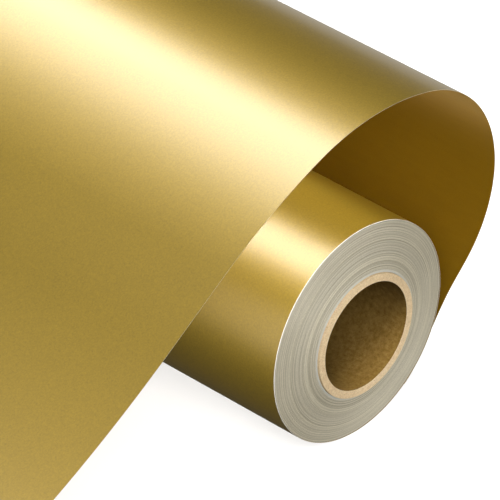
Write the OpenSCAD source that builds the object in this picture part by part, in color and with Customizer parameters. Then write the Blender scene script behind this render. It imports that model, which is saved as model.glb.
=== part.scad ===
// Roll of self-adhesive sign vinyl on a board core, with its free web drawn off the roll.
// The web leaves the roll low on one side, curls over the top and runs down to the floor.
// Frame: origin on the core's axis at the middle of its length, +Y along the axis, +Z up.
// The end that the turns lean back from is the -Y end.

/* [Core] */
// Inside diameter of the core, the standard 3 inch mandrel size
core_bore_d = 76.2; // [76:0.1:77]
// Wall thickness of the core
core_wall = 5.5; // [4:0.5:8]
// How far the core stands out of the innermost turns at each end
core_proud = 2; // [0:0.5:5]
// Number of body plies between the core's smooth inner and outer plies
core_body_plies = 8; // [4:1:10]
// Thickness of the core's smooth inner ply
core_inner_ply_t = 0.3; // [0.2:0.05:0.6]
// Thickness of the core's outer ply
core_outer_ply_t = 0.4; // [0.2:0.05:0.8]

/* [Wound web] */
// Width of the web, a stock 24 inch roll
web_w = 610; // [305:5:1220]
// Outside diameter of the wound roll
roll_d = 155; // [130:1:200]
// Number of bands that the wound turns are divided into
turn_bands = 12; // [6:1:20]
// How far the outermost turns have wandered along the axis from the innermost
wander = 5; // [0:0.5:10]

/* [Web layers] */
// Thickness of the film with its coat of adhesive
film_t = 0.108; // [0.08:0.001:0.2]
// Thickness of the release liner
liner_t = 0.15; // [0.1:0.01:0.25]

/* [Free web] */
// Where the free web leaves the roll, in degrees below the horizontal
leave_angle = 45; // [40:1:50]
// Length of the straight rise off the roll
rise_l = 75; // [60:1:90]
// Length of the straight fall after the curl
fall_l = 60; // [30:1:100]
// How far the free web lies along the axis from the outermost turns
free_shift = 6; // [0:0.5:10]
// Length that lies flat before the lifting flap
landing_l = 45; // [20:1:100]
// Length of the lifting flap at the free end
flap_l = 120; // [60:1:200]
// Length of film at the free end that peels off the liner
lead_l = 50; // [20:1:55]

/* [Start tape] */
// Thickness of the tape that holds the web's start to the core
tape_t = 0.1; // [0.05:0.01:0.2]
// Width of that tape round the core
tape_w = 25; // [15:1:50]

/* [Hidden] */
$fn = 180;
glue_gap = 0.02;     // left between nested layers of one body
run_gap = 0.3;       // left between the roll and the free web
butt_gap = 0.2;      // left where the free web's pieces meet end to end
tape_gap = 0.2;      // radial room for the start tape under the first turn

core_r_in = core_bore_d / 2;
core_r_out = core_r_in + core_wall;
core_l = web_w + 2 * core_proud;
body_ply_t = (core_wall - core_inner_ply_t - core_outer_ply_t) / core_body_plies;

roll_r = roll_d / 2;
web_t = film_t + liner_t;
outer_turn_r = roll_r - web_t;                       // inside of the last full turn
turns_r_in = core_r_out + tape_gap;
band_t = (outer_turn_r - turns_r_in) / turn_bands;

// Bends of the free web after the rise, each as [turn in degrees, radius]
BENDS = [[39, 91], [80, 87.5], [37, 162], [13, 415]];
bend_step = 3;       // degrees of bend between the flats of a bent sheet
land_step = 1.5;     // the same on the long easy bend that brings it to the floor

// Walks from [x, z, heading] along a straight or an arc; a left-hand turn is positive
function forward(p, l) = [p[0] + l * cos(p[2]), p[1] + l * sin(p[2]), p[2]];
function turned(p, a, r) = let (s = a < 0 ? -1 : 1)
    [p[0] + s * r * (sin(p[2] + a) - sin(p[2])),
     p[1] - s * r * (cos(p[2] + a) - cos(p[2])),
     p[2] + a];
function arc_stations(p, a, r, step) = let (n = ceil(abs(a) / step))
    [for (i = [1:n]) turned(p, a * i / n, r)];
function bend_start(k) = k == 0 ? forward(leave_at, rise_l)
    : turned(bend_start(k - 1), BENDS[k - 1][0], BENDS[k - 1][1]);

// The path is the liner's own underside, the face that lay against the roll
path_r = roll_r + run_gap;
leave_at = [path_r * cos(-leave_angle), path_r * sin(-leave_angle), 90 - leave_angle];
fall_at = bend_start(len(BENDS));
land_from = forward(fall_at, fall_l);
land_turn = land_from[2] - 180;
land_r = (land_from[1] + roll_r) / (1 - cos(land_turn));
land_at = turned(land_from, -land_turn, land_r);
flap_at = forward(land_at, landing_l);
lead_at = forward(flap_at, flap_l - lead_l);
end_at = forward(lead_at, lead_l);

curl_path = concat(
    [leave_at, bend_start(0)],
    [for (k = [0:len(BENDS) - 1]) each arc_stations(bend_start(k), BENDS[k][0], BENDS[k][1], bend_step)],
    [land_from],
    arc_stations(land_from, -land_turn, land_r, land_step),
    [forward(flap_at, -butt_gap)]);

// A point off the path by d, to the side that faces away from the roll
function off_path(p, d) = [p[0] + d * sin(p[2]), p[1] - d * cos(p[2])];

// Turns a shape drawn round Z so that it stands round Y
module along_y() {
    rotate([-90, 0, 0]) children();
}

// A tube from y0 to y1 round the core's axis
module tube(r_in, r_out, y0, y1) {
    along_y() translate([0, 0, y0]) difference() {
        cylinder(r = r_out, h = y1 - y0);
        translate([0, 0, -1]) cylinder(r = r_in, h = y1 - y0 + 2);
    }
}

// How far along the axis the turn at radius r has wandered
function wandered(r) = wander * (r - turns_r_in) / (roll_r - turns_r_in);

// A ring of wound turns, whose ends lean as the turns wander
module wound_ring(r_in, r_out) {
    y_in = wandered(r_in);
    y_out = wandered(r_out);
    along_y() rotate_extrude() polygon([
        [r_in, y_in - web_w / 2], [r_out, y_out - web_w / 2],
        [r_out, y_out + web_w / 2], [r_in, y_in + web_w / 2]]);
}

// A strip of free web that follows a path, from d0 to d1 off it
module strip(path, d0, d1) {
    near = [for (p = path) off_path(p, d0)];
    far = [for (i = [len(path) - 1:-1:0]) off_path(path[i], d1)];
    translate([0, wander + free_shift + web_w / 2, 0]) rotate([90, 0, 0])
        linear_extrude(height = web_w) polygon(concat(near, far));
}

module core_inner_ply() {
    color("#a87b4c") tube(core_r_in, core_r_in + core_inner_ply_t, -core_l / 2, core_l / 2);
}

module core_ply(i) {
    r_in = core_r_in + core_inner_ply_t + (i - 1) * body_ply_t + glue_gap;
    color("#cdb28a") tube(r_in, r_in + body_ply_t - glue_gap, -core_l / 2, core_l / 2);
}

module core_outer_ply() {
    color("#c9ab80") tube(core_r_out - core_outer_ply_t + glue_gap, core_r_out, -core_l / 2, core_l / 2);
}

module start_tape() {
    bends = ceil(tape_w / core_r_out * 180 / PI / bend_step);
    tape_r = (core_r_out + glue_gap) / cos(bend_step / 2);
    near = [for (i = [0:bends]) tape_r * [cos(i * bend_step), sin(i * bend_step)]];
    far = [for (i = [bends:-1:0]) (tape_r + tape_t) * [cos(i * bend_step), sin(i * bend_step)]];
    color("#efe9d8") along_y() translate([0, 0, -web_w / 2])
        linear_extrude(height = web_w) polygon(concat(near, far));
}

module turns(i) {
    r_in = turns_r_in + (i - 1) * band_t;
    color("#a9a493") wound_ring(r_in, r_in + band_t - glue_gap);
}

module outer_turn_liner() {
    color("#8f6f2c") wound_ring(outer_turn_r, outer_turn_r + liner_t - glue_gap);
}

module outer_turn_film() {
    color("#b8983e") wound_ring(outer_turn_r + liner_t, roll_r);
}

module web_liner() {
    color("#8f6f2c") strip(curl_path, 0, liner_t);
}

module web_film() {
    color("#b8983e") strip(curl_path, liner_t, web_t);
}

module flap_liner() {
    color("#8f6f2c") strip([flap_at, end_at], 0, liner_t);
}

module flap_film() {
    color("#b8983e") strip([flap_at, forward(lead_at, -butt_gap)], liner_t, web_t);
}

module lead_film() {
    color("#c4a54a") strip([lead_at, end_at], liner_t, web_t);
}

core_inner_ply();
for (i = [1:core_body_plies])
    core_ply(i);
core_outer_ply();
start_tape();
for (i = [1:turn_bands])
    turns(i);
outer_turn_liner();
outer_turn_film();
web_liner();
web_film();
flap_liner();
flap_film();
lead_film();
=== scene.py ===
import math
import random

import bpy
import numpy as np
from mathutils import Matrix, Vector


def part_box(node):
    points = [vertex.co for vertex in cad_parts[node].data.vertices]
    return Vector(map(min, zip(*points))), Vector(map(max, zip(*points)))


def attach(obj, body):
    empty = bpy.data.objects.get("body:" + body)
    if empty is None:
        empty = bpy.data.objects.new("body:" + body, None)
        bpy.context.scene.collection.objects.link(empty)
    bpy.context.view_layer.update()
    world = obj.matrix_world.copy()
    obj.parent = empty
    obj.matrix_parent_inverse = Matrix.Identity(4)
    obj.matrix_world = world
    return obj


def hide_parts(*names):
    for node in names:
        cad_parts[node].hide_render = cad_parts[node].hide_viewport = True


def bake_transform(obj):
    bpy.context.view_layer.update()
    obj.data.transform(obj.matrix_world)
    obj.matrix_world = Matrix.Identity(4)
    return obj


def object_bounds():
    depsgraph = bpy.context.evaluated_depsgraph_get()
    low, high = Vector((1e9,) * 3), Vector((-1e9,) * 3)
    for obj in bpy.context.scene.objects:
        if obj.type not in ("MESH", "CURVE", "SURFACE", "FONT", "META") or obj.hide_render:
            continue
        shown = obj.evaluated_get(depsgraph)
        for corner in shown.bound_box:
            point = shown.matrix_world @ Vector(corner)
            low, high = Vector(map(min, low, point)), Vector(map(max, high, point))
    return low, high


# The looks of a roll of sign vinyl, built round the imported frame. Metres, in the frame's own axes:
# +Y along the roll's axis, +Z up. The near end is the -Y end.
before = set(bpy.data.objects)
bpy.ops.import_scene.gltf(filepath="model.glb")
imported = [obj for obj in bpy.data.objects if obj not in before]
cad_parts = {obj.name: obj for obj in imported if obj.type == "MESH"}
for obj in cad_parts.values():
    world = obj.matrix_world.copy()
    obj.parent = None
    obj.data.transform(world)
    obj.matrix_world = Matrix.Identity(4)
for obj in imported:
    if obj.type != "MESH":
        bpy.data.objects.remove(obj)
CAD_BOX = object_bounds()
FLOOR_Z = CAD_BOX[0][2]
MM = 0.001

# ---------------------------------------------------------------- sizes from the frame
ROLL_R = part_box("outer_turn_film")[1][2]
LINER_TURN_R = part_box("outer_turn_liner")[1][2]
CORE_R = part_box("core_outer_ply")[1][2]
WEB_Y = (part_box("web_liner")[0][1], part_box("web_liner")[1][1])
WEB_W = WEB_Y[1] - WEB_Y[0]
LAST_TURN_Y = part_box("outer_turn_film")[0][1]

# The design's own numbers, repeated from part.scad
CORE_BORE_R = 38.1 * MM
BODY_PLIES = 8
TURN_BANDS = 12
FILM_T = 0.108 * MM
LINER_T = 0.150 * MM
TURN_PITCH = FILM_T + LINER_T
GLUE_GAP = 0.02 * MM
TAPE_GAP = 0.2 * MM
RUN_GAP = 0.3 * MM
LEAVE_DEG = -45.0
RISE_L = 75 * MM
BENDS = ((39, 91 * MM), (80, 87.5 * MM), (37, 162 * MM), (13, 415 * MM))
FALL_L = 60 * MM
LANDING_L = 45 * MM
FLAP_L = 120 * MM
LEAD_L = 50 * MM

# ---------------------------------------------------------------- colours
WHITE = (1.0, 1.0, 1.0)
GOLD = (0.325, 0.213, 0.015)
GOLD_BACK = (0.315, 0.176, 0.009)
EDGE_CREAM = (0.80, 0.73, 0.52)
# The last turn's slit edge, paler than the web's cut edge: a painted highlight along the roll's rim
RIM_HIGHLIGHT_WHITE = (0.92, 0.90, 0.82)
TAIL_GREY = (0.68, 0.70, 0.67)
FLOOR_GREY = (0.90, 0.90, 0.90)

# Dark and light of each mottled surface
RELEASE = ((0.70, 0.66, 0.55), (0.78, 0.74, 0.64))
ADHESIVE = ((0.50, 0.49, 0.45), (0.60, 0.59, 0.55))
TURNS = ((0.50, 0.455, 0.345), (0.92, 0.85, 0.67))
# The bore's brown kraft, made darker still as painted shade inside the bore
BORE_KRAFT_AND_SHADE = ((0.15, 0.082, 0.010), (0.25, 0.150, 0.036))
BOARD = ((0.88, 0.66, 0.39), (0.97, 0.78, 0.50))
TAPE = ((0.74, 0.70, 0.58), (0.84, 0.80, 0.69))

# What a pattern multiplies the colour by where it is darkest
CLOUD_SHADE = (0.965, 0.965, 0.96)
FIBRE_SHADE = (0.95, 0.95, 0.94)
LINE_SHADE = (0.74, 0.73, 0.70)
# Painted shade in the grooves of the wound ends
GROOVE_PAINTED_SHADE = (0.62, 0.61, 0.58)
BAND_SHADE = (0.95, 0.95, 0.94)
DUST_SHADE = (0.88, 0.88, 0.87)
HAIR_SHADE = (0.84, 0.82, 0.79)
SPECK_SHADE = (0.70, 0.66, 0.60)


def grey(value):
    return (value, value, value)


def opaque(colour):
    """A colour as a socket takes it."""
    return (*colour, 1.0)


def tone(colour, factor):
    return tuple(min(1.0, c * factor) for c in colour)


# ---------------------------------------------------------------- node materials
# The Mix node's sockets for colours
MIX_FACTOR = 0
MIX_ONE = 6
MIX_TWO = 7
MIX_RESULT = 2


class Nodes:
    """A material's node tree, with short calls to add and join nodes."""

    def __init__(self, name):
        self.material = bpy.data.materials.new(name)
        self.material.use_nodes = True
        self.tree = self.material.node_tree
        self.tree.nodes.clear()
        self.shader = self.add("ShaderNodeBsdfPrincipled")
        out = self.add("ShaderNodeOutputMaterial")
        self.join(self.shader.outputs[0], out.inputs["Surface"])
        self.place = self.add("ShaderNodeTexCoord").outputs["Object"]

    def add(self, kind, **inputs):
        made = self.tree.nodes.new(kind)
        for name, value in inputs.items():
            self.put(made.inputs[name.replace("_", " ")], value)
        return made

    def join(self, source, target):
        self.tree.links.new(source, target)

    def put(self, socket, value):
        if isinstance(value, bpy.types.NodeSocket):
            self.join(value, socket)
        else:
            socket.default_value = value

    def set(self, **values):
        """Puts values on the shader's own sockets."""
        for name, value in values.items():
            self.put(self.shader.inputs[name.replace("_", " ")], value)

    def math(self, operation, *values):
        made = self.tree.nodes.new("ShaderNodeMath")
        made.operation = operation
        for socket, value in zip(made.inputs, values):
            self.put(socket, value)
        return made.outputs[0]

    def span(self, factor, low, high):
        """factor from 0 to 1 becomes a value from low to high."""
        return self.math("MULTIPLY_ADD", factor, high - low, low)

    def noise(self, scale, detail=2.0, rough=0.5, place=None):
        made = self.add("ShaderNodeTexNoise", Scale=scale, Detail=detail, Roughness=rough)
        self.join(place or self.place, made.inputs["Vector"])
        return made.outputs["Fac"]

    def fibres(self, across, along, detail=3.0, rough=0.6):
        """Noise drawn out along the roll's axis."""
        made = self.add("ShaderNodeMapping", Vector=self.place)
        made.inputs["Scale"].default_value = (across, along, across)
        return self.noise(1.0, detail, rough, place=made.outputs["Vector"])

    def ramp(self, factor, *stops):
        made = self.add("ShaderNodeValToRGB", Fac=factor)
        ramp = made.color_ramp
        while len(ramp.elements) < len(stops):
            ramp.elements.new(0.5)
        for element, (at, colour) in zip(ramp.elements, stops):
            element.position = at
            element.color = opaque(colour)
        return made.outputs["Color"]

    def mottle(self, factor, dark, light, low=0.3, high=0.7):
        return self.ramp(factor, (low, dark), (high, light))

    def mix(self, factor, one, two, blend="MIX"):
        made = self.tree.nodes.new("ShaderNodeMix")
        made.data_type = "RGBA"
        made.blend_type = blend
        self.put(made.inputs[MIX_FACTOR], factor)
        self.put(made.inputs[MIX_ONE], one)
        self.put(made.inputs[MIX_TWO], two)
        return made.outputs[MIX_RESULT]

    def shaded(self, colour, *shades):
        """colour multiplied by each of the shades."""
        for shade in shades:
            colour = self.mix(1.0, colour, shade, "MULTIPLY")
        return colour

    def bump(self, height, strength, distance):
        made = self.add("ShaderNodeBump", Strength=strength, Distance=distance, Height=height)
        self.join(made.outputs[0], self.shader.inputs["Normal"])

    def radius(self):
        """Distance from the roll's axis."""
        parts = self.add("ShaderNodeSeparateXYZ", Vector=self.place).outputs
        squares = [self.math("MULTIPLY", p, p) for p in (parts["X"], parts["Z"])]
        return self.math("SQRT", self.math("ADD", *squares))

    def rings(self, pitch, seed, wobble):
        """Noise that changes with the distance from the axis, on rings that wobble a little."""
        drift = self.span(self.noise(scale=9.0, detail=1.0), -wobble, wobble)
        radius = self.math("ADD", self.radius(), drift)
        along = self.add("ShaderNodeCombineXYZ", X=radius, Y=seed)
        return self.noise(1.0 / pitch, detail=3.0, rough=0.65, place=along.outputs[0])


# How much darker and lighter than its colour a face's flakes are
GRAIN = 0.24
BACK_GRAIN = 0.10


def gold_film():
    """Satin metallised film: fine flake grain under a clear face."""
    n = Nodes("gold_film_face")
    flake = n.noise(scale=800.0, detail=3.0, rough=0.7)
    cloud = n.noise(scale=14.0)
    base = n.mottle(flake, tone(GOLD, 1 - GRAIN), tone(GOLD, 1 + GRAIN), low=0.25, high=0.75)
    n.set(Base_Color=n.shaded(base, n.mottle(cloud, CLOUD_SHADE, WHITE)))
    n.set(Metallic=0.68, Roughness=n.span(flake, 0.45, 0.55), Specular_IOR_Level=0.0)
    n.set(Coat_Weight=1.0, Coat_Roughness=0.31, Coat_IOR=1.75)
    n.bump(n.noise(scale=1500.0), strength=0.05, distance=0.05 * MM)
    return n.material


def liner_back():
    """The liner's coated back, a duller gold that shows the fall of its fibres."""
    n = Nodes("liner_back")
    flake = n.noise(scale=1800.0, detail=3.0, rough=0.6)
    fibre = n.fibres(across=300.0, along=40.0)
    dull = tone(GOLD_BACK, 1 - BACK_GRAIN)
    base = n.mottle(flake, dull, tone(GOLD_BACK, 1 + BACK_GRAIN), low=0.25, high=0.75)
    n.set(Base_Color=n.shaded(base, n.mottle(fibre, FIBRE_SHADE, WHITE)))
    n.set(Metallic=0.50, Roughness=n.span(flake, 0.50, 0.62), Specular_IOR_Level=0.05)
    n.bump(fibre, strength=0.06, distance=0.05 * MM)
    return n.material


def release_face():
    """The liner's silicone face, smooth and pale."""
    n = Nodes("release_face")
    fibre = n.noise(scale=260.0, detail=3.0, rough=0.6)
    n.set(Base_Color=n.mottle(fibre, *RELEASE), Roughness=n.span(fibre, 0.22, 0.34))
    n.set(Coat_Weight=0.6, Coat_Roughness=0.2)
    n.bump(fibre, strength=0.04, distance=0.05 * MM)
    return n.material


def adhesive_face():
    """The film's adhesive side, pale grey with a faint orange-peel."""
    n = Nodes("adhesive_face")
    peel = n.noise(scale=420.0)
    n.set(Base_Color=n.mottle(peel, *ADHESIVE), Roughness=n.span(peel, 0.25, 0.40))
    n.bump(peel, strength=0.15, distance=0.05 * MM)
    return n.material


def cut_edge(name, colour):
    """The slit edge of film and liner."""
    n = Nodes(name)
    grain = n.noise(scale=1400.0)
    n.set(Base_Color=n.mottle(grain, tone(colour, 0.88), colour))
    n.set(Roughness=n.span(grain, 0.55, 0.75))
    return n.material


def tape_paper():
    """Creped paper tape."""
    n = Nodes("tape_paper")
    crepe = n.fibres(across=900.0, along=90.0)
    n.set(Base_Color=n.mottle(crepe, *TAPE), Roughness=n.span(crepe, 0.65, 0.8))
    n.bump(crepe, strength=0.3, distance=0.1 * MM)
    return n.material


BOARD_ROUGH = 0.85
BOARD_ROUGH_SPREAD = 0.06


def board(name, dark, light, scale):
    """Core board: soft mottle, short fibres and fine dark and pale specks."""
    n = Nodes(name)
    fibre = n.fibres(across=900.0, along=220.0, detail=4.0, rough=0.65)
    cloud = n.noise(scale, detail=5.0, rough=0.65)
    speck = n.noise(scale=1150.0, rough=0.7)
    base = n.mottle(cloud, dark, light, low=0.32, high=0.68)
    hair = n.mottle(fibre, HAIR_SHADE, WHITE, low=0.30, high=0.62)
    dots = n.ramp(speck, (0.30, SPECK_SHADE), (0.42, grey(0.93)), (0.66, WHITE))
    n.set(Base_Color=n.shaded(base, hair, dots), Specular_IOR_Level=0.2)
    low = BOARD_ROUGH - BOARD_ROUGH_SPREAD
    n.set(Roughness=n.span(cloud, low, BOARD_ROUGH + BOARD_ROUGH_SPREAD))
    n.bump(n.math("ADD", fibre, speck), strength=0.4, distance=0.15 * MM)
    return n.material


# Pitch and unevenness of the grooves in the wound ends
GROOVE_PITCH = 1.7 * MM
GROOVE_DRIFT = 1.6 * MM
GROOVE_BAND_DRIFT = 1.5 * MM

# Painted shade and light on the wound ends, from the core, 0, to the rim, 1: a grey for each stage of
# the winding, standing in for how the light falls on its steps
WOUND_PAINTED_SHADE_BANDS = (
    (0.0, 0.94), (0.20, 0.96), (0.24, 1.0), (0.35, 1.0),
    (0.40, 0.90), (0.57, 0.92), (0.63, 1.0), (0.70, 0.97),
)
TAIL_DEPTH = 3 * MM


def grooves_and_painted_shade(n, broad):
    """Uneven grooves between turns, deep in some places and faint in others: their bump height, and
    painted shade that darkens them.
    """
    drift = n.math("MULTIPLY", broad, GROOVE_BAND_DRIFT)
    drift = n.math("MULTIPLY_ADD", n.noise(scale=9.0), GROOVE_DRIFT, drift)
    wave = n.math("PINGPONG", n.math("ADD", n.radius(), drift), GROOVE_PITCH / 2)
    wave = n.math("MULTIPLY", wave, 2 / GROOVE_PITCH)
    shade = n.ramp(wave, (0.05, GROOVE_PAINTED_SHADE), (0.42, grey(0.97)), (0.95, WHITE))
    deep = n.mottle(n.noise(scale=16.0, detail=1.0), grey(0.25), WHITE, low=0.38, high=0.60)
    return wave, n.mix(deep, opaque(WHITE), shade)


# Painted shade: the wound ends made lighter or darker by distance from the core, as light falls on the
# winding's steps
def painted_step_shade(n):
    depth = ROLL_R - CORE_R
    across = n.math("MULTIPLY_ADD", n.radius(), 1 / depth, -CORE_R / depth)
    return n.ramp(across, *((at, grey(value)) for at, value in WOUND_PAINTED_SHADE_BANDS))


def tail_share(n):
    """How much of the web's pale tail shows in the innermost turns."""
    depth = n.math("SUBTRACT", n.radius(), CORE_R)
    depth = n.math("MULTIPLY", depth, 1 / TAIL_DEPTH)
    return n.mottle(depth, grey(0.7), grey(0.0), low=0.25, high=0.7)


def wound_ends():
    """The ends of the wound turns: warm grey, each turn a little lighter or darker."""
    n = Nodes("wound_ends")
    fine = n.rings(pitch=0.30 * MM, seed=0.0, wobble=0.10 * MM)
    lines = n.rings(pitch=0.62 * MM, seed=3.0, wobble=0.10 * MM)
    broad = n.rings(pitch=3.6 * MM, seed=7.0, wobble=0.5 * MM)
    dust = n.noise(scale=900.0, detail=3.0, rough=0.7)
    wave, painted_groove_shade = grooves_and_painted_shade(n, broad)
    colour = n.shaded(
        n.mottle(fine, *TURNS, low=0.32, high=0.68),
        n.mottle(lines, LINE_SHADE, WHITE, low=0.42, high=0.50),
        # painted shade in the grooves
        painted_groove_shade,
        n.mottle(broad, BAND_SHADE, WHITE, low=0.38, high=0.62),
        # painted shade and light in bands by distance from the core
        painted_step_shade(n),
        n.mottle(dust, DUST_SHADE, WHITE, low=0.30, high=0.65),
    )
    n.set(Base_Color=n.mix(tail_share(n), colour, opaque(TAIL_GREY)))
    n.set(Roughness=n.span(dust, 0.55, 0.75))
    height = n.math("ADD", wave, n.math("MULTIPLY", dust, 0.5))
    n.bump(height, strength=0.5, distance=0.15 * MM)
    return n.material


# ---------------------------------------------------------------- mesh helpers
RING_STEPS = 256
LAST_TURN_STEPS = 360
SHARP_DEG = 30
WEB_SHARP_DEG = 45


def smooth(t):
    t = min(1.0, max(0.0, t))
    return t * t * (3 - 2 * t)


def new_object(name, points, faces, indices, materials, sharp_deg):
    mesh = bpy.data.meshes.new(name)
    mesh.from_pydata([tuple(p) for p in points], [], faces)
    for m in materials:
        mesh.materials.append(m)
    mesh.polygons.foreach_set("material_index", indices)
    mesh.polygons.foreach_set("use_smooth", [True] * len(faces))
    mesh.update()
    mesh.set_sharp_from_angle(angle=math.radians(sharp_deg))
    made = bpy.data.objects.new(name, mesh)
    bpy.context.scene.collection.objects.link(made)
    return made


def lathe(name, profile, steps, materials, index_of):
    """A closed ring: profile is a closed loop of (radius, y), anticlockwise seen with y to the right
    and the radius up. index_of gives each side of the loop its material."""
    loop = len(profile)
    radii = np.array([p[0] for p in profile])
    ys = np.array([p[1] for p in profile])
    turns = np.arange(steps) * 2 * math.pi / steps
    points = np.empty((steps, loop, 3))
    points[:, :, 0] = np.cos(turns)[:, None] * radii
    points[:, :, 1] = ys
    points[:, :, 2] = np.sin(turns)[:, None] * radii
    faces = []
    for i in range(steps):
        a = i * loop
        b = (i + 1) % steps * loop
        for k in range(loop):
            m = (k + 1) % loop
            faces.append((a + k, a + m, b + m, b + k))
    indices = index_of * steps
    return new_object(name, points.reshape(-1, 3), faces, indices, materials, SHARP_DEG)


def finish_ring(piece, node):
    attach(piece, "roll")
    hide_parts(node)


# ---------------------------------------------------------------- the free web's path
# The visible web starts this far round the roll before it leaves it, and so near to it
WRAP_DEG = 10.0
TOUCH_GAP = 0.05 * MM
PATH_R = ROLL_R + RUN_GAP
WRAP_L = math.radians(WRAP_DEG) * PATH_R
# Length over which the last turn's edge eases over to the free web's edge
EASE_L = WRAP_L + 60 * MM

# Spacing of the stations: close on tight bends and where a joint bends the sheet
WRAP_SPACING = 1 * MM
STRAIGHT_SPACING = 2.5 * MM
BEND_SPACING = 2 * MM
LANDING_SPACING = 3 * MM
FLAP_SPACING = 1.25 * MM
LEAD_SPACING = 1 * MM


def forward(p, length):
    turn = math.radians(p[2])
    return (p[0] + length * math.cos(turn), p[1] + length * math.sin(turn), p[2])


def turned(p, degrees, radius):
    side = -1 if degrees < 0 else 1
    a = math.radians(p[2])
    b = math.radians(p[2] + degrees)
    return (
        p[0] + side * radius * (math.sin(b) - math.sin(a)),
        p[1] - side * radius * (math.cos(b) - math.cos(a)),
        p[2] + degrees,
    )


class Path:
    """Stations (x, z, heading, s) along the web's underside. s is 0 where it leaves the roll."""

    def __init__(self, start, s):
        self.stations = [(*start, s)]

    def end(self):
        return self.stations[-1]

    def step(self, p, length):
        self.stations.append((*p, self.end()[3] + length))

    def straight(self, length, spacing):
        count = max(1, round(length / spacing))
        start = self.end()[:3]
        for i in range(1, count + 1):
            self.step(forward(start, length * i / count), length / count)

    def bend(self, degrees, radius, spacing):
        length = math.radians(abs(degrees)) * radius
        count = max(1, round(length / spacing))
        start = self.end()[:3]
        for i in range(1, count + 1):
            self.step(turned(start, degrees * i / count, radius), length / count)


def wrap_start():
    at = math.radians(LEAVE_DEG - WRAP_DEG)
    return (PATH_R * math.cos(at), PATH_R * math.sin(at), LEAVE_DEG - WRAP_DEG + 90)


def lay_path():
    """The stations of the whole visible web, and the s at which its lead starts."""
    path = Path(wrap_start(), -WRAP_L)
    path.bend(WRAP_DEG, PATH_R, WRAP_SPACING)
    path.straight(RISE_L, STRAIGHT_SPACING)
    for degrees, radius in BENDS:
        path.bend(degrees, radius, BEND_SPACING)
    path.straight(FALL_L, STRAIGHT_SPACING)
    land_turn = path.end()[2] - 180
    land_r = (path.end()[1] - FLOOR_Z) / (1 - math.cos(math.radians(land_turn)))
    path.bend(-land_turn, land_r, LANDING_SPACING)
    path.straight(LANDING_L, LANDING_SPACING)
    path.straight(FLAP_L - LEAD_L, FLAP_SPACING)
    lead_s = path.end()[3]
    path.straight(LEAD_L, LEAD_SPACING)
    return path.stations, lead_s


def lift(s):
    """The wrapped part lies on the roll and comes up to its own path as it leaves."""
    return -(RUN_GAP - TOUCH_GAP) * (1 - smooth((s + WRAP_L) / WRAP_L))


def side_shift(s):
    """The outermost turn's edge eases over to the free web's edge."""
    return (LAST_TURN_Y - WEB_Y[0]) * (1 - smooth((s + WRAP_L) / EASE_L))


# ---------------------------------------------------------------- the free web's strips
ACROSS = 48
# Places of a strip's three materials
OUTER = 0
INNER = 1
CUT = 2


def strip_points(stations, offset):
    """One face of a strip, offset off the path: a row of points across the web at each station."""
    points = []
    for x, z, heading, s in stations:
        turn = math.radians(heading)
        away = offset + lift(s)
        for k in range(ACROSS + 1):
            y = WEB_Y[0] + WEB_W * k / ACROSS + side_shift(s)
            points.append((x + away * math.sin(turn), y, z - away * math.cos(turn)))
    return points


def strip_faces(count):
    """The closed strip's faces as (material place, corners). Its inner points follow its outer ones."""
    wide = ACROSS + 1
    under = count * wide
    faces = []
    for i in range(count - 1):
        a = i * wide
        b = a + wide
        for k in range(ACROSS):
            faces.append((OUTER, (a + k, a + k + 1, b + k + 1, b + k)))
            faces.append((INNER, (under + a + k, under + b + k, under + b + k + 1, under + a + k + 1)))
        faces.append((CUT, (a, b, under + b, under + a)))
        a += ACROSS
        b += ACROSS
        faces.append((CUT, (a, under + a, under + b, b)))
    last = (count - 1) * wide
    for k in range(ACROSS):
        faces.append((CUT, (k, under + k, under + k + 1, k + 1)))
        a = last + k
        faces.append((CUT, (a, a + 1, under + a + 1, under + a)))
    return faces


def web_strip(name, stations, low, high, materials):
    """A closed thin strip that follows stations, from low to high off the path.
    Its materials are for its outer face, its inner face and its cut edges."""
    points = strip_points(stations, high) + strip_points(stations, low)
    faces = strip_faces(len(stations))
    indices = [place for place, _ in faces]
    corners = [corner for _, corner in faces]
    return new_object(name, points, corners, indices, materials, WEB_SHARP_DEG)


# ---------------------------------------------------------------- the wound roll
RANDOM_SEED = 31
# Where the near end steps back, each time the winding was taken up again
STEP_AT = (0.727 * ROLL_R, 0.832 * ROLL_R)
STEP_DEPTH = 0.35 * MM
STEP_RUN = 0.8 * MM
# Each turn's ridge, as (share of the turn, share of the ridge's depth)
RIDGE = ((0.06, 1.0), (0.30, 0.15), (0.55, 0.0), (0.86, 0.35))
RIDGE_DEPTH = 0.14 * MM
TURN_JITTER = 0.12 * MM
DRIFT_KEPT = 0.6
# Places of a ring's two materials, and which of them each side of its outline takes
FACE = 0
END = 1
LAST_TURN_SIDES = [END, END, FACE, END, END, FACE]
PLY_SIDES = [END, END, END, END, END, END, END, END]
INNER_PLY_SIDES = [END, END, END, FACE, END, END, END, END]
# The last turn's ends: how far they stand in, lean and round over
LAST_TURN_INSET = 0.05 * MM
LAST_TURN_LEAN = 0.04 * MM
LAST_TURN_RIM = 0.05 * MM
LAST_TURN_SOFT = 0.5 * MM
# The plies' ends: how unevenly they are cut, and how softly
PLY_UNEVEN = 0.18 * MM
PLY_SOFT = 0.12 * MM


def stepped(r):
    """How far the near end stands back at r: the roll was wound in three stages."""
    return sum(STEP_DEPTH * smooth((r - at) / STEP_RUN) for at in STEP_AT) - STEP_DEPTH


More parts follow.
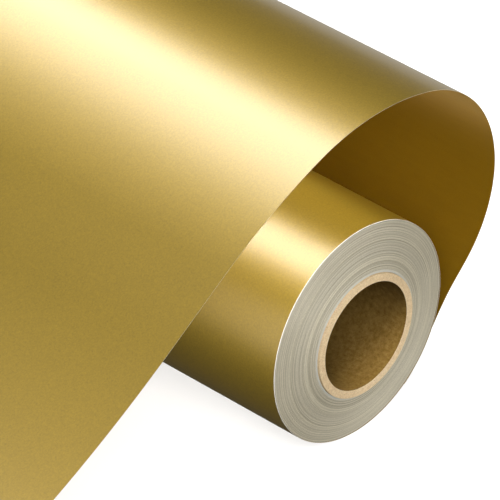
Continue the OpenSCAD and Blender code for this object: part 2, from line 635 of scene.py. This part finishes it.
def end_lines(y_near, y_far, r_in, r_out, turns):
    """Radii and the near and far ends' y of a ring of turns, a shallow ridge for each turn."""
    near = []
    far = []
    drift = 0.0
    for i in range(turns):
        drift = DRIFT_KEPT * drift + random.uniform(-TURN_JITTER, TURN_JITTER)
        drift_far = random.uniform(-TURN_JITTER, TURN_JITTER)
        for share, dip in RIDGE:
            t = (i + share) / turns
            r = r_in + (r_out - r_in) * t
            near.append((r, y_near(t) + stepped(r) + drift + RIDGE_DEPTH * dip))
            far.append((r, y_far(t) - drift_far - RIDGE_DEPTH * dip))
    return near, far


def ring_between(r_in, r_out, near, far):
    """A closed loop for lathe from the lines of its two ends."""
    near = [(r_in, near[0][1])] + near + [(r_out, near[-1][1])]
    far = [(r_in, far[0][1])] + far + [(r_out, far[-1][1])]
    return far[::-1] + near


def wound_rings(ends):
    """The bands of turns between the core and the last turn."""
    made = []
    r_in = CORE_R + TAPE_GAP
    for i in range(1, TURN_BANDS + 1):
        node = "turns_%d" % i
        low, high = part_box(node)
        r_out = high[2]
        lean = high[1] - low[1] - WEB_W
        near, far = end_lines(
            lambda t: low[1] + lean * t,
            lambda t: high[1] - lean * (1 - t),
            r_in, r_out, round((r_out - r_in) / TURN_PITCH))
        loop = ring_between(r_in, r_out, near, far)
        piece = lathe(node + "_wound", loop, RING_STEPS, [ends], [FACE] * len(loop))
        finish_ring(piece, node)
        made.append(piece)
        r_in = r_out + GLUE_GAP
    return made


def last_turn(node, r_in, r_out, face, cut):
    """The last full turn of the liner or of the film."""
    low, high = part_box(node)
    y0 = low[1] + LAST_TURN_INSET
    y1 = high[1] - LAST_TURN_INSET
    r_rim = r_out - LAST_TURN_RIM
    loop = [(r_out, y1 - LAST_TURN_SOFT), (r_rim, y1), (r_in, y1 - LAST_TURN_LEAN)]
    loop += [(r_in, y0 + LAST_TURN_LEAN), (r_rim, y0), (r_out, y0 + LAST_TURN_SOFT)]
    piece = lathe(node + "_ring", loop, LAST_TURN_STEPS, [face, cut], LAST_TURN_SIDES)
    finish_ring(piece, node)
    return piece


def core_ring(node, r_in, bore, body):
    """One ply of the core, cut off a hair longer or shorter than the next, and its outer radius."""
    low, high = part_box(node)
    r_out = high[2]
    y0 = low[1] + random.uniform(0.0, PLY_UNEVEN)
    y1 = high[1] - random.uniform(0.0, PLY_UNEVEN)
    side = min(PLY_SOFT, (r_out - r_in) / 3)
    loop = [(r_out, y1 - side), (r_out - side, y1), (r_in + side, y1), (r_in, y1 - side)]
    loop += [(r_in, y0 + side), (r_in + side, y0), (r_out - side, y0), (r_out, y0 + side)]
    inner = node == "core_inner_ply"
    sides = INNER_PLY_SIDES if inner else PLY_SIDES
    piece = lathe(node + "_ring", loop, RING_STEPS, [bore, body], sides)
    finish_ring(piece, node)
    return piece, r_out


def core_rings(bore, body):
    """The core's plies from the bore outwards."""
    names = ["core_inner_ply"]
    names += ["core_ply_%d" % i for i in range(1, BODY_PLIES + 1)]
    names += ["core_outer_ply"]
    made = []
    r_in = CORE_BORE_R
    for node in names:
        piece, r_out = core_ring(node, r_in, bore, body)
        made.append(piece)
        r_in = r_out + GLUE_GAP
    return made


# ---------------------------------------------------------------- build
random.seed(RANDOM_SEED)
gold = gold_film()
back = liner_back()
release = release_face()
adhesive = adhesive_face()
edge = cut_edge("cut_edge", EDGE_CREAM)
# The rim's slit edge is painted paler than the web's, as a painted highlight along the rim
rim_edge_and_highlight = cut_edge("rim_edge_painted_highlight", RIM_HIGHLIGHT_WHITE)
ends = wound_ends()
# The bore paper's dark colour is partly painted shade inside the bore
bore_paper_and_shade = board("core_bore_paper", *BORE_KRAFT_AND_SHADE, scale=330.0)
core_board = board("core_board", *BOARD, scale=500.0)

bands = wound_rings(ends)
liner_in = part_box("turns_%d" % TURN_BANDS)[1][2] + GLUE_GAP
film_in = LINER_TURN_R + GLUE_GAP
liner_ring = last_turn("outer_turn_liner", liner_in, LINER_TURN_R, back, rim_edge_and_highlight)
film_ring = last_turn("outer_turn_film", film_in, ROLL_R, gold, rim_edge_and_highlight)
plies = core_rings(bore_paper_and_shade, core_board)
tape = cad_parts["start_tape"]
tape.data.materials.clear()
tape.data.materials.append(tape_paper())

# The lead strip starts this far before the line that it peels from
SPLIT_BACK = 10 * MM
stations, lead_s = lay_path()
split = max(i for i, st in enumerate(stations) if st[3] <= lead_s - SPLIT_BACK)
film_faces = [gold, adhesive, edge]
liner = web_strip("web_liner_strip", stations, 0.0, LINER_T, [release, back, edge])
film = web_strip("web_film_strip", stations[:split + 1], LINER_T, TURN_PITCH, film_faces)
lead = web_strip("lead_film_strip", stations[split:], LINER_T, TURN_PITCH, film_faces)

# Bake each strip's place into its mesh and hide the frame's parts that it stands for
for piece, slot, nodes in (
    (liner, "release_liner", ("web_liner", "flap_liner")),
    (film, "gold_film", ("web_film", "flap_film")),
):
    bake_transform(piece)
    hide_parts(*nodes)
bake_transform(lead)
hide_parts("lead_film")


# ---------------------------------------------------------------- camera and floor
CAMERA_AZIMUTH = -46.19
CAMERA_ELEVATION = 34.06
CAMERA_DISTANCE = 3.808
CAMERA_LENS_MM = 430.5
CAMERA_SENSOR_MM = 36.0
CAMERA_CLIP_END = 100.0
CAMERA_AIM = Vector((-0.0267, -0.2300, 0.0432))
FLOOR_HALF = 12.0
FLOOR_DROP = 0.05 * MM


def direction(azimuth, elevation):
    """Unit vector from the object towards a camera at this azimuth and elevation."""
    a = math.radians(azimuth)
    e = math.radians(elevation)
    return Vector((math.sin(a) * math.cos(e), -math.cos(a) * math.cos(e), math.sin(e)))


def make_camera():
    data = bpy.data.cameras.new("camera")
    data.lens = CAMERA_LENS_MM
    data.sensor_width = CAMERA_SENSOR_MM
    data.clip_end = CAMERA_CLIP_END
    made = bpy.data.objects.new("camera", data)
    towards = direction(CAMERA_AZIMUTH, CAMERA_ELEVATION)
    made.location = CAMERA_AIM + CAMERA_DISTANCE * towards
    made.rotation_euler = (-towards).to_track_quat("-Z", "Y").to_euler()
    bpy.context.scene.collection.objects.link(made)
    bpy.context.scene.camera = made


def make_floor():
    """A wide pale floor that keeps out of reflections."""
    half = FLOOR_HALF
    z = FLOOR_Z - FLOOR_DROP
    corners = [(-half, -half, z), (half, -half, z), (half, half, z), (-half, half, z)]
    n = Nodes("floor")
    n.set(Base_Color=opaque(FLOOR_GREY), Roughness=0.9)
    made = new_object("floor", corners, [(0, 1, 2, 3)], [0], [n.material], SHARP_DEG)
    made.visible_diffuse = False
    made.visible_glossy = False
    return made


# ---------------------------------------------------------------- light
# The studio is dim but for the pale sweep of its backdrop, low down on the +X side:
# greys by how near a direction is to the middle of that sweep
BACKDROP_WAY = (0.93, 0.0, -0.37)
WORLD_BANDS = ((0.66, 0.05), (0.78, 0.62))

# Light that has come off the gold before it reaches the inside of the curl and the roll's top
WARM = (1.0, 0.88, 0.50)
GOLDEN = (1.0, 0.72, 0.12)

# What the lamps aim at
CREST = Vector((-0.10, -0.26, 0.105))
ROLL_TOP = Vector((-0.04, -0.10, 0.067))
CURL_TOP = Vector((0.05, -0.20, 0.12))
CENTRE = Vector((0.0, -0.20, 0.0))
ORIGIN = Vector((0.0, 0.0, 0.0))


def make_world():
    world = bpy.data.worlds.new("studio")
    bpy.context.scene.world = world
    world.use_nodes = True
    tree = world.node_tree
    shade = tree.nodes["Background"]
    shade.inputs["Strength"].default_value = 1.0
    place = tree.nodes.new("ShaderNodeTexCoord")
    towards = tree.nodes.new("ShaderNodeVectorMath")
    towards.operation = "DOT_PRODUCT"
    towards.inputs[1].default_value = BACKDROP_WAY
    ramp = tree.nodes.new("ShaderNodeValToRGB")
    for band, (at, value) in zip(ramp.color_ramp.elements, WORLD_BANDS):
        band.position = at
        band.color = opaque(grey(value))
    tree.links.new(place.outputs["Generated"], towards.inputs[0])
    tree.links.new(towards.outputs["Value"], ramp.inputs[0])
    tree.links.new(ramp.outputs[0], shade.inputs["Color"])


def way(x, y, z):
    return Vector((x, y, z)).normalized()


def mirrored(normal_deg):
    """The way from which light comes to the camera off a face whose normal is at this angle,
    measured from +X up towards +Z."""
    turn = math.radians(normal_deg)
    normal = Vector((math.cos(turn), 0, math.sin(turn)))
    towards = direction(CAMERA_AZIMUTH, CAMERA_ELEVATION)
    return 2 * towards.dot(normal) * normal - towards


def group(name, objects):
    made = bpy.data.collections.new(name)
    for o in objects:
        made.objects.link(o)
    return made


def lamp(name, aim, towards, size, bright, distance=2.0, colour=WHITE, only=None, shadow=False):
    """An area light that faces aim. bright is its lit face's own brightness, where 1 is white.
    With only, it reaches just those pieces, and past everything else unless shadow is true."""
    wide, tall = size
    at = aim + distance * towards
    data = bpy.data.lights.new(name, "AREA")
    data.shape = "RECTANGLE"
    data.size = wide
    data.size_y = tall
    data.energy = bright * math.pi * wide * tall
    data.color = colour
    made = bpy.data.objects.new(name, data)
    made.location = at
    made.rotation_euler = (aim - at).to_track_quat("-Z", "Y").to_euler()
    bpy.context.scene.collection.objects.link(made)
    made.visible_camera = False
    if only:
        made.light_linking.receiver_collection = only
        data.use_shadow = shadow
        data.cycles.use_multiple_importance_sampling = False


floor = make_floor()
make_world()
roll_only = group("roll_only", [film_ring])
bore_only = group("bore_only", [plies[0]])
end_only = group("end_only", bands + plies[1:] + [liner_ring, film_ring])
floor_only = group("floor_only", [floor])
curl_only = group("curl_only", [liner])

# The web's highlight, the roll's own, and the softer light on the roll's flank and top
lamp("key", CREST, mirrored(107.4), size=(0.69, 2.4), bright=8.3)
lamp("roll_key", ROLL_TOP, mirrored(119), size=(1.05, 2.4), bright=7.6, only=roll_only)
lamp("roll_side", CENTRE, way(-0.95, 0.10, 0.15), size=(1.1, 1.5), bright=3.6, only=roll_only)
lamp("roll_warm", ROLL_TOP, mirrored(82), size=(0.7, 1.5), bright=1.1, only=roll_only, colour=GOLDEN)
# The whole scene's fill, and the light on the roll's end, in its bore and on the floor
lamp("fill", CENTRE, way(-0.48, -0.68, 0.55), size=(2.0, 1.6), bright=4.9, distance=2.5)
lamp("end_light", CENTRE, way(0.45, -0.85, 0.15),
     size=(1.5, 1.5), bright=2.0, distance=2.5, only=end_only)
lamp("bore_light", CENTRE, way(-0.28, -0.24, 0.90),
     size=(0.8, 0.8), bright=19.0, only=bore_only, shadow=True)
lamp("floor_light", ORIGIN, way(0, 0, 1),
     size=(20.0, 20.0), bright=1.0, distance=6.0, only=floor_only)
# The inside of the curl, and the top of the web
lamp("bounce", CURL_TOP, mirrored(207), size=(0.8, 0.8), bright=3.2, only=curl_only, colour=WARM)
lamp("under_fill", CENTRE, way(-0.80, -0.10, -0.60),
     size=(1.5, 1.5), bright=2.0, distance=2.5, only=curl_only)
lamp("top_fill", CENTRE, way(-0.45, -0.05, 0.89), size=(2.0, 1.6), bright=1.4, distance=2.5)
make_camera()
bpy.context.scene.view_settings.view_transform = "Standard"
